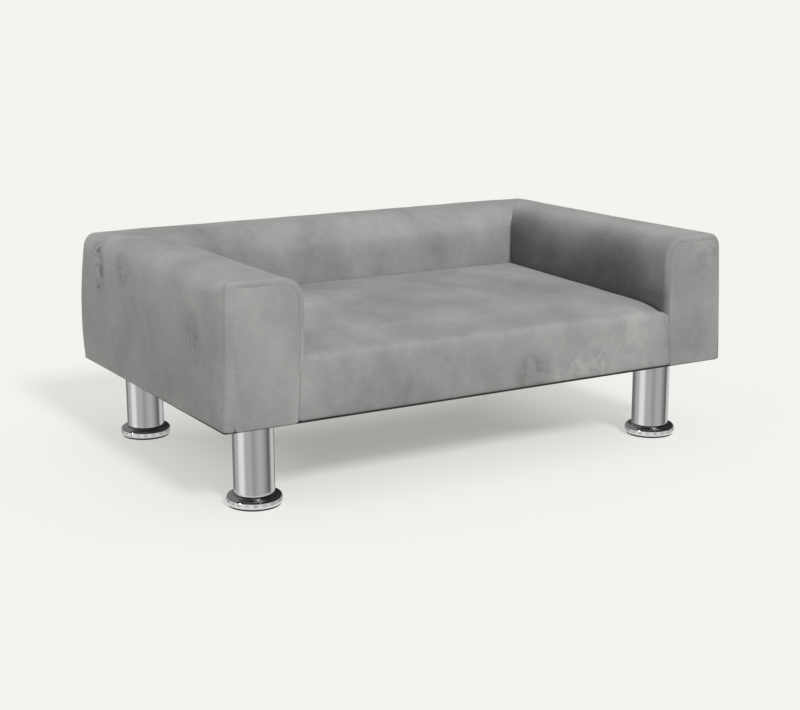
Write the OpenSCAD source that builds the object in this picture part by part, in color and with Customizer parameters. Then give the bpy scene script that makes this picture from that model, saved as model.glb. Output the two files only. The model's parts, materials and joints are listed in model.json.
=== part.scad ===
// Small upholstered dog sofa on four round levelling legs.
// The origin is on the floor under the middle of the sofa: +X is its right, +Y its rear, +Z up.

/* [Body] */
// Width across both arms at their fullest
body_w = 700; // [620:5:900]
// Depth from the front face to the rear face
body_d = 450; // [400:5:620]
// Height of the arms and back above the floor
body_top = 268; // [250:1:330]
// Height of the underside above the floor
leg_h = 103; // [85:1:112]

/* [Arms and back] */
// Thickness of an arm at its fullest
arm_t = 98; // [92:1:125]
// Thickness of the back at its fullest
back_t = 110; // [104:1:140]
// Radius of the outer top edge
outer_r = 14; // [11:0.5:20]
// Radius of the rolled inner top edge
inner_r = 27; // [22:0.5:34]
// Radius of the two upright rear corners
corner_r = 11; // [8:0.5:20]
// Radius of the edge round the front faces
front_r = 5; // [4:0.5:5.5]
// How far the outer faces swell between their edges
side_bulge = 3; // [1:0.5:6]
// How far the inner faces swell between their edges
inner_bulge = 5; // [2:0.5:8]
// How far the tops swell between their edges
top_crown = 3; // [1:0.5:6]

/* [Seat] */
// Height of the seat above the underside where it meets the back
seat_rise = 86; // [80:1:100]
// Drop of the seat from the back to the front
seat_fall = 7; // [2:1:12]
// Swell of the seat in its middle
seat_crown = 4; // [1:0.5:8]
// Radius of the rolled front edge of the seat
seat_r = 20; // [14:1:26]

/* [Cover and foam] */
// Thickness of the plush cover with its backing
cover_t = 2; // [1.5:0.1:2.5]
// Foam on the outer and front faces
side_foam = 6; // [4:0.5:9]
// Foam on the inner faces
inner_foam = 12; // [8:1:16]
// Foam on the tops
top_foam = 12; // [10:1:18]
// Thickness of the black lining with the cover folded in above it
lining_t = 2; // [1:0.5:3]

/* [Frame] */
// Thickness of the plywood panels
panel_t = 6; // [4:0.5:9]
// Thickness of the top boards
board_t = 12; // [9:1:16]
// Width of the pine rails
rail_w = 20; // [16:1:26]
// Height of the pine rails
rail_h = 35; // [30:1:42]

/* [Legs] */
// Leg centre from the outer side face
leg_inset_x = 62; // [54:1:75]
// Leg centre from the front or rear face
leg_inset_y = 56; // [52:1:70]
// Outer diameter of a leg tube
tube_d = 47.5; // [40:0.5:50]
// Wall of a leg tube
tube_wall = 1.2; // [0.8:0.1:2]
// Diameter of a foot ring
ring_d = 65; // [60:0.5:72]
// Height of the rounded edge of a foot ring
ring_h = 11; // [9:0.5:12]
// Sheet thickness of a foot ring
ring_sheet = 1.2; // [0.8:0.1:1.5]
// Thickness of the sole under a foot ring
sole_t = 2.2; // [1.5:0.1:3]
// Diameter of the levelling stud and of the leg bolt
stud_d = 7.9; // [6:0.1:8]
// How far a levelling foot screws out
foot_travel = 12; // [5:1:13]

/* [Hidden] */
$fn = 96;

// Running, fitting and seam clearances
fit_gap = 0.1;
run_gap = 0.08;
seam_gap = 0.15;
foam_gap = 0.6;
foot_gap = 0.3;
cut_over = 1;

// Levels
shell_z = leg_h + lining_t;
deck_z = shell_z + rail_h;
deck_t = panel_t;
deck_top = deck_z + deck_t;
edge_top = body_top - top_crown;
box_top = edge_top - cover_t - top_foam;
panel_top = box_top - board_t;
seat_rear_z = leg_h + seat_rise;
seat_front_z = seat_rear_z - seat_fall;
roll_z = seat_front_z - seat_r;

// Plan of the upholstery: the back is the arm section stretched by depth_share
half_w = body_w / 2;
half_d = body_d / 2;
depth_share = back_t / arm_t;
inner_x = half_w - arm_t;
inner_y = half_d - back_t;
inner_corner_r = 1.5;
hold_share = 0.35;

// Seams of an arm's front panel, from the edges of the arm
seam_out = 19;
seam_top = 8;
seam_in = 7;
seam_out_r = 5;
seam_in_r = inner_r - seam_in;
seam_x = inner_x + seam_in;

// Wooden box inside the arms and the back
box_out_x = half_w - side_bulge - cover_t - side_foam;
box_in_x = inner_x + cover_t + inner_foam;
box_rear_y = half_d - depth_share * (side_bulge + cover_t) - side_foam;
box_back_y = inner_y + depth_share * cover_t + inner_foam;
box_front_y = -half_d + cover_t + side_foam;
rail_out_x = box_out_x - panel_t;
rail_in_x = rail_out_x - rail_w;
rail_front_y = box_front_y + panel_t;
rail_rear_y = box_rear_y - panel_t;

// Lining
lining_inset = 1;
bolt_hole_d = 13;

// Legs, from the floor up
leg_x = half_w - leg_inset_x;
leg_y = half_d - leg_inset_y;
ring_top = sole_t + ring_h;
bead_r = ring_h / 2;
bead_x = ring_d / 2 - bead_r;
sole_d = ring_d - 4;
tube_z = ring_top + foot_gap;
tube_in_d = tube_d - 2 * tube_wall;
washer_d = 20;
washer_t = 1.2;
plug_z = ring_top + washer_t + foot_gap;
plug_h = 16;
nut_h = 6.5;
nut_af = 13;
head_h = 5.3;
cap_t = 3;
bore_d = stud_d + 2 * run_gap;
pass_d = stud_d + 6 * fit_gap;
stud_top = plug_z + plug_h + foot_travel + nut_h / 2;
insert_d = 12;
insert_h = 16;
bolt_top = shell_z + insert_h + cap_t;
block_side = 30;

// Screws that hold the panels to the rails
screw_d = 3.5;
screw_head_d = 7;
screw_head_h = 2.5;
screw_l = 20;
screw_shares = [-0.38, 0, 0.38];

// Facets of the soft forms
side_steps = 6;
arc_steps = 4;
top_steps = 6;
long_steps = 6;
back_steps = 10;
corner_steps = 3;
seat_steps = 14;

pine = "burlywood";
ply = "tan";
foam = "khaki";
plush = "darkgray";
steel = "silver";

// Places of the legs: name ending and sign of x and y
LEGS = [["front_left", -1, -1], ["front_right", 1, -1], ["rear_left", -1, 1], ["rear_right", 1, 1]];

// A plain box between two corners
module slab(low, high) {
    translate(low) cube(high - low);
}

// Closed loops of equal length joined into one solid; band loops are an outer path and its inner
// path in reverse, and any other loop has a flat end
module loft(loops, band = false) {
    n = len(loops[0]);
    last = len(loops) - 1;
    half = n / 2;
    sides = [for (i = [0:last - 1]) for (j = [0:n - 1]) let (
        a = i * n + j,
        b = i * n + (j + 1) % n
    ) each [[a, b, a + n], [a + n, b, b + n]]];
    strips = [for (j = [0:half - 2]) each [
        [j, n - 1 - j, j + 1],
        [j + 1, n - 1 - j, n - 2 - j]
    ]];
    start = band ? strips : [[for (j = [n - 1:-1:0]) j]];
    end = [for (f = start) [for (k = [len(f) - 1:-1:0]) f[k] + last * n]];
    polyhedron(points = [for (l = loops) each l], faces = concat(sides, start, end), convexity = 6);
}

// How much the upholstery swells at a share of the way along a face
function swell(share) = hold_share + (1 - hold_share) * sin(180 * share);

function straight(low, high, steps) = [for (k = [0:steps]) low + (high - low) * k / steps];

// Outline across an arm, as [distance from the outer face, height], from the outer foot over the
// top to the inner foot; in_out, in_top and in_in draw the three sides in, and full is the share
// of the swell
function outline(in_out, in_top, in_in, r_out, r_in, full, foot) = let (
    d0 = side_bulge + in_out,
    d1 = arm_t - inner_bulge - in_in,
    z1 = edge_top - in_top
) concat(
    [for (k = [0:side_steps]) [
        d0 - side_bulge * full * sin(180 * k / side_steps),
        shell_z + (z1 - r_out - shell_z) * k / side_steps
    ]],
    [for (k = [1:arc_steps - 1]) let (a = 180 - 90 * k / arc_steps) [
        d0 + r_out + r_out * cos(a),
        z1 - r_out + r_out * sin(a)
    ]],
    [for (k = [0:top_steps]) [
        d0 + r_out + (d1 - r_in - d0 - r_out) * k / top_steps,
        z1 + top_crown * full * sin(180 * k / top_steps)
    ]],
    [for (k = [1:arc_steps]) let (a = 90 - 90 * k / (arc_steps + 1)) [
        d1 - r_in + r_in * cos(a),
        z1 - r_in + r_in * sin(a)
    ]],
    [for (k = [0:side_steps]) [
        d1 + inner_bulge * sin(90 * k / side_steps),
        z1 - r_in + (foot - z1 + r_in) * k / side_steps
    ]]
);
function inset_outline(inset, full, foot) =
    outline(inset, inset, inset, outer_r - inset, inner_r - inset, full, foot);

// Radius in plan of the line that runs a distance d inside the outer face
function plan_r(d) = corner_r + (inner_corner_r - corner_r) * d / arm_t;

// Point of a line d inside the outer face, turned by angle a round the rear corner
function turn_point(d, z, a) = let (r = plan_r(d)) [
    half_w - d - r + r * cos(a),
    half_d - depth_share * d - r + r * sin(a),
    z
];

// Point on the straight of the arm, at a share of the way from y0 to the corner
function arm_point(p, y0, share) = let (y1 = half_d - depth_share * p[0] - plan_r(p[0])) [
    half_w - p[0],
    y0 + (y1 - y0) * share,
    p[1]
];

// Point on the straight of the back, at a share from the left corner to the right corner
function back_point(p, share) = let (x1 = half_w - p[0] - plan_r(p[0])) [
    x1 * (2 * share - 1),
    half_d - depth_share * p[0],
    p[1]
];
function mirrored(p) = [-p[0], p[1], p[2]];

// Side paths of the cover, drawn in by inset, at one station of the sweep
cover_foot = roll_z + seam_gap;
front_sweep = straight(90, 0, arc_steps - 1);

function arm_front_path(inset, a) = let (
    r = front_r - inset,
    i = inset + r * (1 - cos(a))
) [for (p = inset_outline(i, hold_share, cover_foot)) [
    half_w - p[0],
    -half_d + inset + r * (1 - sin(a)),
    p[1]
]];

function arm_lip_path(inset) = [
    for (p = outline(seam_out, seam_top, seam_in, seam_out_r, seam_in_r, hold_share, cover_foot)) [
        half_w - p[0],
        -half_d + inset,
        p[1]
    ]
];

function arm_long_path(inset, share) = [
    for (p = inset_outline(inset, swell(share), cover_foot)) arm_point(p, -half_d + front_r, share)
];

function arm_turn_path(inset, a) = [
    for (p = inset_outline(inset, hold_share, cover_foot)) turn_point(p[0], p[1], a)
];

// One closed loop from the paths of the two faces of a cover
function loop(outer, inner) = concat(outer, [for (j = [len(inner) - 1:-1:0]) inner[j]]);

module arm_cover() {
    lip = [loop(arm_lip_path(0), arm_lip_path(cover_t))];
    front = [for (a = front_sweep) loop(arm_front_path(0, a), arm_front_path(cover_t, a))];
    long = [for (k = [1:long_steps]) let (s = k / long_steps)
        loop(arm_long_path(0, s), arm_long_path(cover_t, s))];
    turn = [for (k = [1:corner_steps]) let (a = 45 * k / corner_steps)
        loop(arm_turn_path(0, a), arm_turn_path(cover_t, a))];
    color(plush) loft(concat(lip, front, long, turn), band = true);
}

module back_cover() {
    right = [for (k = [0:corner_steps - 1]) let (a = 45 + 45 * k / corner_steps)
        loop(arm_turn_path(0, a), arm_turn_path(cover_t, a))];
    long = [for (k = [back_steps:-1:0]) let (s = k / back_steps, f = swell(s)) loop(
        [for (p = inset_outline(0, f, cover_foot)) back_point(p, s)],
        [for (p = inset_outline(cover_t, f, cover_foot)) back_point(p, s)]
    )];
    left = [for (k = [corner_steps - 1:-1:0]) [for (p = right[k]) mirrored(p)]];
    color(plush) loft(concat(right, long, left), band = true);
}

// Flat panel that closes the front of an arm inside its seam
module arm_front() {
    g = seam_gap;
    rim = concat(
        outline(seam_out + g, seam_top + g, seam_in + g, seam_out_r, seam_in_r - g,
            hold_share, cover_foot),
        [[arm_t - seam_in - g, shell_z]]
    );
    color(plush) translate([half_w, -half_d, 0]) rotate([90, 0, 0]) mirror([1, 0, 0])
        translate([0, 0, -cover_t]) linear_extrude(cover_t) polygon(rim);
}

// Outline of the foam, down to the foot of the inner face
function foam_outline(inset, full) =
    concat(inset_outline(inset, full, deck_top), [[arm_t - inset, shell_z]]);

// Foam round the wooden box of an arm, cut square at the mitre
module arm_foam() {
    inset = cover_t + foam_gap;
    y0 = -half_d + front_r;
    r = front_r - inset;
    front = [for (a = front_sweep) [
        for (p = foam_outline(inset + r * (1 - cos(a)), hold_share)) [
            half_w - p[0],
            -half_d + inset + r * (1 - sin(a)),
            p[1]
        ]
    ]];
    long = [for (k = [1:long_steps]) let (s = k / long_steps) [
        for (p = foam_outline(inset, swell(s))) let (
            y1 = half_d - depth_share * p[0] - plan_r(p[0]) - foam_gap
        ) [half_w - p[0], y0 + (y1 - y0) * s, p[1]]
    ]];
    color(foam) difference() {
        loft(concat(front, long));
        slab([box_in_x, box_front_y, 0], [box_out_x, half_d, box_top]);
        slab([0, box_front_y, 0], [box_out_x, half_d, deck_top]);
    }
}

// Foam round the wooden box of the back, cut square at both mitres
module back_foam() {
    inset = cover_t + foam_gap;
    long = [for (k = [back_steps:-1:0]) let (s = k / back_steps) [
        for (p = foam_outline(inset, swell(s))) let (
            x1 = half_w - p[0] - plan_r(p[0]) - foam_gap
        ) [x1 * (2 * s - 1), half_d - depth_share * p[0], p[1]]
    ]];
    color(foam) difference() {
        loft(long);
        slab([-box_out_x, box_back_y, 0], [box_out_x, box_rear_y, box_top]);
        slab([-box_out_x, 0, 0], [box_out_x, box_rear_y, deck_top]);
    }
}

// Seat profile from the rear tuck over the top to the end of the rolled front edge, as
// [y, z, crown share]
seat_y = inner_y - seam_gap;
seat_tuck = 12;
seat_tuck_r = 5;
apron_step = 1;
function seat_profile(inset) = let (
    y0 = seat_y - inset,
    r0 = seat_tuck_r - inset / 2,
    z0 = seat_rear_z - inset,
    y1 = -half_d + seat_r,
    r1 = seat_r - inset
) concat(
    [[y0, seat_rear_z - seat_tuck, 0]],
    [for (k = [0:2]) let (a = 45 * k) [y0 - r0 + r0 * cos(a), z0 - r0 + r0 * sin(a), 0]],
    [for (k = [1:seat_steps - 1]) let (s = k / seat_steps) [
        y0 - r0 + (y1 - y0 + r0) * s,
        z0 - seat_fall * s,
        sin(180 * s)
    ]],
    [for (k = [0:arc_steps]) let (a = 90 + 90 * k / arc_steps) [
        y1 + r1 * cos(a),
        seat_front_z - seat_r + r1 * sin(a),
        0
    ]]
);

// The profile at a share across the seat
function seat_path(inset, share, reach) = [
    for (p = seat_profile(inset)) [
        reach * (2 * share - 1),
        p[0],
        p[1] + seat_crown * p[2] * swell(share)
    ]
];

// The same with the flat front below the roll, which is wider and runs under the arms' lips
function seat_cover_path(inset, share, reach) = concat(seat_path(inset, share, reach), [
    for (z = [roll_z - apron_step, shell_z]) [seam_x * (2 * share - 1), -half_d + inset, z]
]);

module seat_cover() {
    reach = inner_x - seam_gap;
    loops = [for (k = [seat_steps:-1:0]) let (s = k / seat_steps)
        loop(seat_cover_path(0, s, reach), seat_cover_path(cover_t, s, reach))];
    color(plush) loft(loops, band = true);
}

module seat_foam() {
    inset = cover_t + foam_gap;
    reach = inner_x - inset;
    loops = [for (k = [seat_steps:-1:0]) let (
        s = k / seat_steps,
        x = reach * (2 * s - 1),
        path = seat_path(inset, s, reach)
    ) concat(
        [for (j = [1:len(path) - 1]) path[j]],
        [
            [x, -half_d + inset, shell_z],
            [x, box_front_y, shell_z],
            [x, box_front_y, deck_top],
            [x, seat_y - inset, deck_top]
        ]
    )];
    color(foam) loft(loops);
}

module base_lining() {
    x = half_w - side_bulge - lining_inset;
    y = half_d - lining_inset;
    rear_y = half_d - depth_share * side_bulge - lining_inset;
    color("dimgray") difference() {
        slab([-x, -y, leg_h], [x, rear_y, shell_z]);
        for (l = LEGS)
            translate([l[1] * leg_x, l[2] * leg_y, leg_h - cut_over])
                cylinder(d = bolt_hole_d, h = lining_t + 2 * cut_over);
    }
}

// A countersunk screw pointing along +X with its head at the origin
module screw(gap) {
    rotate([0, 90, 0]) {
        cylinder(d = screw_d + gap, h = screw_l + gap);
        cylinder(d1 = screw_head_d + gap, d2 = screw_d + gap, h = screw_head_h);
    }
}

// Every screw of the frame: through the sides, the rear panel and the seat's front board
module screws(gap) {
    z = shell_z + rail_h / 2;
    for (s = screw_shares) {
        for (side = [0, 1])
            mirror([side, 0, 0])
                translate([box_out_x, s * body_d, z]) rotate([0, 0, 180]) screw(gap);
        translate([s * body_w, box_rear_y, z]) rotate([0, 0, -90]) screw(gap);
        translate([s * 2 * inner_x, box_front_y, z]) rotate([0, 0, 90]) screw(gap);
    }
}

module frame_screws() {
    color(steel) screws(0);
}

module side_rail() {
    color(pine) difference() {
        slab([rail_in_x, rail_front_y, shell_z], [rail_out_x, rail_rear_y, deck_z]);
        screws(fit_gap);
    }
}

module cross_rail(y) {
    color(pine) difference() {
        slab([-rail_in_x, y, shell_z], [rail_in_x, y + rail_w, deck_z]);
        screws(fit_gap);
    }
}

module centre_rail() {
    color(pine) slab([-rail_w / 2, rail_front_y + rail_w, shell_z],
        [rail_w / 2, rail_rear_y - rail_w, deck_z]);
}

// Glue blocks in the corners of the rails, each drilled for a threaded insert
module corner_blocks() {
    x0 = leg_x - block_side;
    color(pine) for (l = LEGS) {
        y0 = l[2] < 0 ? rail_front_y + rail_w : leg_y - block_side;
        y1 = l[2] < 0 ? block_side - leg_y : rail_rear_y - rail_w;
        difference() {
            mirror([l[1] < 0 ? 1 : 0, 0, 0])
                slab([x0, y0, shell_z], [rail_in_x, y1, deck_z]);
            translate([l[1] * leg_x, l[2] * leg_y, shell_z - cut_over])
                cylinder(d = insert_d + fit_gap, h = bolt_top + 2 * cut_over - shell_z + cut_over);
        }
    }
}

module seat_deck() {
    color(ply) slab([-rail_out_x, rail_front_y, deck_z], [rail_out_x, rail_rear_y, deck_top]);
}

module seat_front_board() {
    color(ply) difference() {
        slab([-box_in_x, box_front_y, shell_z], [box_in_x, rail_front_y, deck_top]);
        screws(fit_gap);
    }
}

module side_panel() {
    color(ply) difference() {
        slab([rail_out_x, rail_front_y, shell_z], [box_out_x, box_rear_y, panel_top]);
        screws(fit_gap);
    }
}

module inner_panel() {
    color(ply) slab([box_in_x, rail_front_y, deck_top],
        [box_in_x + panel_t, box_back_y, panel_top]);
}

module front_board() {
    color(ply) slab([box_in_x, box_front_y, shell_z], [box_out_x, rail_front_y, panel_top]);
}

module top_board() {
    color(ply) slab([box_in_x, box_front_y, panel_top], [box_out_x, box_back_y, box_top]);
}

module rear_panel() {
    color(ply) difference() {
        slab([-rail_out_x, rail_rear_y, shell_z], [rail_out_x, box_rear_y, panel_top]);
        screws(fit_gap);
    }
}

module back_inner_panel() {
    color(ply) slab([-rail_out_x, box_back_y, deck_top],
        [rail_out_x, box_back_y + panel_t, panel_top]);
}

module back_top_board() {
    color(ply) slab([-box_out_x, box_back_y, panel_top], [box_out_x, box_rear_y, box_top]);
}

// Ring of round material between two heights
module collar(d_out, d_in, low, high) {
    translate([0, 0, low]) difference() {
        cylinder(d = d_out, h = high - low);
        translate([0, 0, -cut_over]) cylinder(d = d_in, h = high - low + 2 * cut_over);
    }
}

// Hexagonal bar across its flats
module hex_bar(af, low, high) {
    translate([0, 0, low]) cylinder(d = af / cos(30), h = high - low, $fn = 6);
}

module at_legs() {
    for (l = LEGS) translate([l[1] * leg_x, l[2] * leg_y, 0]) children();
}

module at_leg(name) {
    for (l = LEGS)
        if (l[0] == name) translate([l[1] * leg_x, l[2] * leg_y, 0]) children();
}

module threaded_inserts() {
    color("goldenrod") at_legs() collar(insert_d, bore_d, shell_z, shell_z + insert_h);
}

module leg_bolts() {
    head_top = leg_h - cap_t;
    color(steel) at_legs() {
        hex_bar(nut_af, head_top - head_h, head_top);
        translate([0, 0, head_top]) cylinder(d = stud_d, h = bolt_top - head_top);
    }
}

// Tube with a drilled cap welded in its top
module leg_tube() {
    color(steel) {
        collar(tube_d, tube_in_d, tube_z, leg_h);
        collar(tube_in_d + tube_wall, bore_d, leg_h - cap_t, leg_h);
    }
}

// Plastic plug in the foot of a tube, with a hexagonal pocket for its nut
module leg_plug() {
    top = plug_z + plug_h;
    color("dimgray") difference() {
        collar(tube_in_d - 2 * fit_gap, pass_d, plug_z, top);
        hex_bar(nut_af + 2 * fit_gap, top - nut_h, top + cut_over);
    }
}

module plug_nuts() {
    top = plug_z + plug_h;
    color("goldenrod") at_legs() difference() {
        hex_bar(nut_af, top - nut_h, top);
        translate([0, 0, top - nut_h - cut_over]) cylinder(d = bore_d, h = nut_h + 2 * cut_over);
    }
}

module foot_washer() {
    color("white") collar(washer_d, bore_d, ring_top, ring_top + washer_t);
}

// Levelling stud with a hexagonal head that the sole holds
module foot_stud() {
    head_top = ring_top - ring_sheet;
    color(steel) {
        hex_bar(nut_af, head_top - head_h, head_top);
        translate([0, 0, head_top]) cylinder(d = stud_d, h = stud_top - head_top);
    }
}

// Pressed dish with a full round edge, open underneath
module foot_ring() {
    color(steel) rotate_extrude() difference() {
        union() {
            translate([bead_x, sole_t + bead_r]) circle(bead_r);
            translate([pass_d / 2, ring_top - ring_sheet])
                square([bead_x - pass_d / 2, ring_sheet]);
        }
        translate([bead_x, sole_t + bead_r]) circle(bead_r - ring_sheet);
        square([bead_x, ring_top - ring_sheet]);
    }
}

// Black sole with a hub that fills the dish and holds the head of the stud
module foot_sole() {
    head_top = ring_top - ring_sheet;
    color("black") difference() {
        union() {
            cylinder(d = sole_d, h = sole_t);
            cylinder(d = 2 * (bead_x - fit_gap), h = head_top);
        }
        hex_bar(nut_af + 2 * fit_gap, head_top - head_h, head_top + cut_over);
    }
}

cross_rail(rail_front_y);  // front_rail
cross_rail(rail_rear_y - rail_w);  // rear_rail
mirror([1, 0, 0]) side_rail();  // left_rail
side_rail();  // right_rail
centre_rail();
corner_blocks();
seat_deck();
seat_front_board();
mirror([1, 0, 0]) side_panel();  // left_side_panel
side_panel();  // right_side_panel
mirror([1, 0, 0]) inner_panel();  // left_inner_panel
inner_panel();  // right_inner_panel
mirror([1, 0, 0]) front_board();  // left_front_board
front_board();  // right_front_board
mirror([1, 0, 0]) top_board();  // left_top_board
top_board();  // right_top_board
rear_panel();
back_inner_panel();
back_top_board();
frame_screws();
seat_foam();
mirror([1, 0, 0]) arm_foam();  // left_arm_foam
arm_foam();  // right_arm_foam
back_foam();
seat_cover();
mirror([1, 0, 0]) arm_cover();  // left_arm_cover
arm_cover();  // right_arm_cover
mirror([1, 0, 0]) arm_front();  // left_arm_front
arm_front();  // right_arm_front
back_cover();
base_lining();
threaded_inserts();
leg_bolts();
plug_nuts();
at_leg("front_left") leg_tube();  // leg_tube_front_left
at_leg("front_right") leg_tube();  // leg_tube_front_right
at_leg("rear_left") leg_tube();  // leg_tube_rear_left
at_leg("rear_right") leg_tube();  // leg_tube_rear_right
at_leg("front_left") leg_plug();  // leg_plug_front_left
at_leg("front_right") leg_plug();  // leg_plug_front_right
at_leg("rear_left") leg_plug();  // leg_plug_rear_left
at_leg("rear_right") leg_plug();  // leg_plug_rear_right
at_leg("front_left") foot_washer();  // foot_washer_front_left
at_leg("front_right") foot_washer();  // foot_washer_front_right
at_leg("rear_left") foot_washer();  // foot_washer_rear_left
at_leg("rear_right") foot_washer();  // foot_washer_rear_right
at_leg("front_left") foot_stud();  // foot_stud_front_left
at_leg("front_right") foot_stud();  // foot_stud_front_right
at_leg("rear_left") foot_stud();  // foot_stud_rear_left
at_leg("rear_right") foot_stud();  // foot_stud_rear_right
at_leg("front_left") foot_ring();  // foot_ring_front_left
at_leg("front_right") foot_ring();  // foot_ring_front_right
at_leg("rear_left") foot_ring();  // foot_ring_rear_left
at_leg("rear_right") foot_ring();  // foot_ring_rear_right
at_leg("front_left") foot_sole();  // foot_sole_front_left
at_leg("front_right") foot_sole();  // foot_sole_front_right
at_leg("rear_left") foot_sole();  // foot_sole_rear_left
at_leg("rear_right") foot_sole();  // foot_sole_rear_right
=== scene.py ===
import json
import math

import bmesh
import bpy
from mathutils import Matrix, Vector, noise


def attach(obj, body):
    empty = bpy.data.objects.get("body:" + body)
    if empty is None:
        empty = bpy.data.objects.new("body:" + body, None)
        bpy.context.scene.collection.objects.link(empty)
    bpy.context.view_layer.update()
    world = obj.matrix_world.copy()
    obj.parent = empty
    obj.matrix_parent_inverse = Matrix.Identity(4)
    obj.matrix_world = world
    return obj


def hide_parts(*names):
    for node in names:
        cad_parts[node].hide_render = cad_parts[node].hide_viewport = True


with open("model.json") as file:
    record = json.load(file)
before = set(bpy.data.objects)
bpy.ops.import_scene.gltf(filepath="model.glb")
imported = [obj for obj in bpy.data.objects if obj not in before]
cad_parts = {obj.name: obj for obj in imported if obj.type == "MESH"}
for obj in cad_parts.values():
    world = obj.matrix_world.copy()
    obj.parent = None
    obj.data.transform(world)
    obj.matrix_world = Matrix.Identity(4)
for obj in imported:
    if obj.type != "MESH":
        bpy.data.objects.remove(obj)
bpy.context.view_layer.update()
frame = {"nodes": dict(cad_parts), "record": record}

print("frame loaded with", len(frame["nodes"]), "nodes")
legNames = ["front_left", "front_right", "rear_left", "rear_right"]
facing = 0.9             # how straight a face has to look along an axis to count
hair = 1e-4              # slack when places are compared
sharp = 50               # edges that bend by more degrees than this are rounded


# Small helpers for work by hand: select, cut, bevel and finish
def allOff():
    if bpy.context.mode != "OBJECT":
        bpy.ops.object.mode_set(mode="OBJECT")
    bpy.ops.object.select_all(action="DESELECT")


def useOnly(piece):
    allOff()
    piece.select_set(True)
    bpy.context.view_layer.objects.active = piece


def placeHere(piece, name):
    piece.name = piece.data.name = name
    useOnly(piece)
    bpy.ops.object.transform_apply(location=True, rotation=True, scale=True)
    return piece


def startBlock(name, low, high):
    allOff()
    low, high = Vector(low), Vector(high)
    bpy.ops.mesh.primitive_cube_add(size=1, location=(low + high) / 2)
    bpy.context.object.scale = high - low
    return placeHere(bpy.context.object, name)


def editOn(piece):
    if bpy.context.mode != "EDIT_MESH" or bpy.context.edit_object != piece:
        useOnly(piece)
        bpy.ops.object.mode_set(mode="EDIT")


def pick(piece, kind, test):
    editOn(piece)
    bpy.ops.mesh.select_mode(type={"verts": "VERT", "edges": "EDGE", "faces": "FACE"}[kind])
    bpy.ops.mesh.select_all(action="DESELECT")
    mesh = bmesh.from_edit_mesh(piece.data)
    found = [part for part in getattr(mesh, kind) if test(part)]
    for part in found:
        part.select_set(True)
    bmesh.update_edit_mesh(piece.data)
    return len(found)


def middle(part):
    return sum((v.co for v in part.verts), Vector()) / len(part.verts)


def near(a, b, gap=hair):
    return abs(a - b) < gap


def allVerts(part, test):
    return all(test(v.co) for v in part.verts)


def cutAcross(piece, axis, places):
    normal = [float(axis == k) for k in range(3)]
    for place in places:
        editOn(piece)
        bpy.ops.mesh.select_mode(type="FACE")
        bpy.ops.mesh.select_all(action="SELECT")
        bpy.ops.mesh.bisect(plane_co=[place * n for n in normal], plane_no=normal)


def spread(low, high, cell):
    count = max(1, round((high - low) / cell))
    return [low + (high - low) * k / count for k in range(1, count)]


def arcPlaces(start, radius, count):
    return [start + radius * (1 - math.cos(math.radians(90 * k / count))) for k in range(1, count + 1)]


def between(pair, share):
    return pair[0] + (pair[1] - pair[0]) * share


def fade(value, start, reach):
    # 0 up to the start, then up to 1 over the reach
    return min(1.0, max(0.0, (value - start) / reach))


def fallOff(away, reach):
    # 1 at no distance, down to 0 over the reach
    return max(0.0, 1 - away / reach)


def finishWith(piece, kind, **settings):
    useOnly(piece)
    modifier = piece.modifiers.new(kind.lower(), kind)
    for key, value in settings.items():
        setattr(modifier, key, value)
    bpy.ops.object.modifier_apply(modifier=modifier.name)


def copyTo(piece, name, place):
    other = piece.copy()
    other.data = piece.data.copy()
    bpy.context.scene.collection.objects.link(other)
    other.data.transform(place)
    other.name = other.data.name = name
    return other


def roundEdges(piece, width):
    finishWith(piece, "BEVEL", width=width, segments=2, limit_method="ANGLE",
               angle_limit=math.radians(sharp))


def smoothLook(piece, angle):
    useOnly(piece)
    bpy.ops.object.shade_smooth_by_angle(angle=math.radians(angle))


def outward(piece):
    editOn(piece)
    bpy.ops.mesh.select_all(action="SELECT")
    bpy.ops.mesh.normals_make_consistent(inside=False)
    bpy.ops.object.mode_set(mode="OBJECT")


def inOrder(piece):
    # Puts edges and faces in a fixed order, so that the cloth comes out the same in each run
    mesh = bmesh.new()
    mesh.from_mesh(piece.data)
    count = len(mesh.verts)

    def rank(part):
        numbers = sorted(v.index for v in part.verts)
        return sum(number * count ** -k for k, number in enumerate(numbers[:3]))

    mesh.edges.sort(key=rank)
    mesh.faces.sort(key=rank)
    mesh.to_mesh(piece.data)
    mesh.free()


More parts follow.
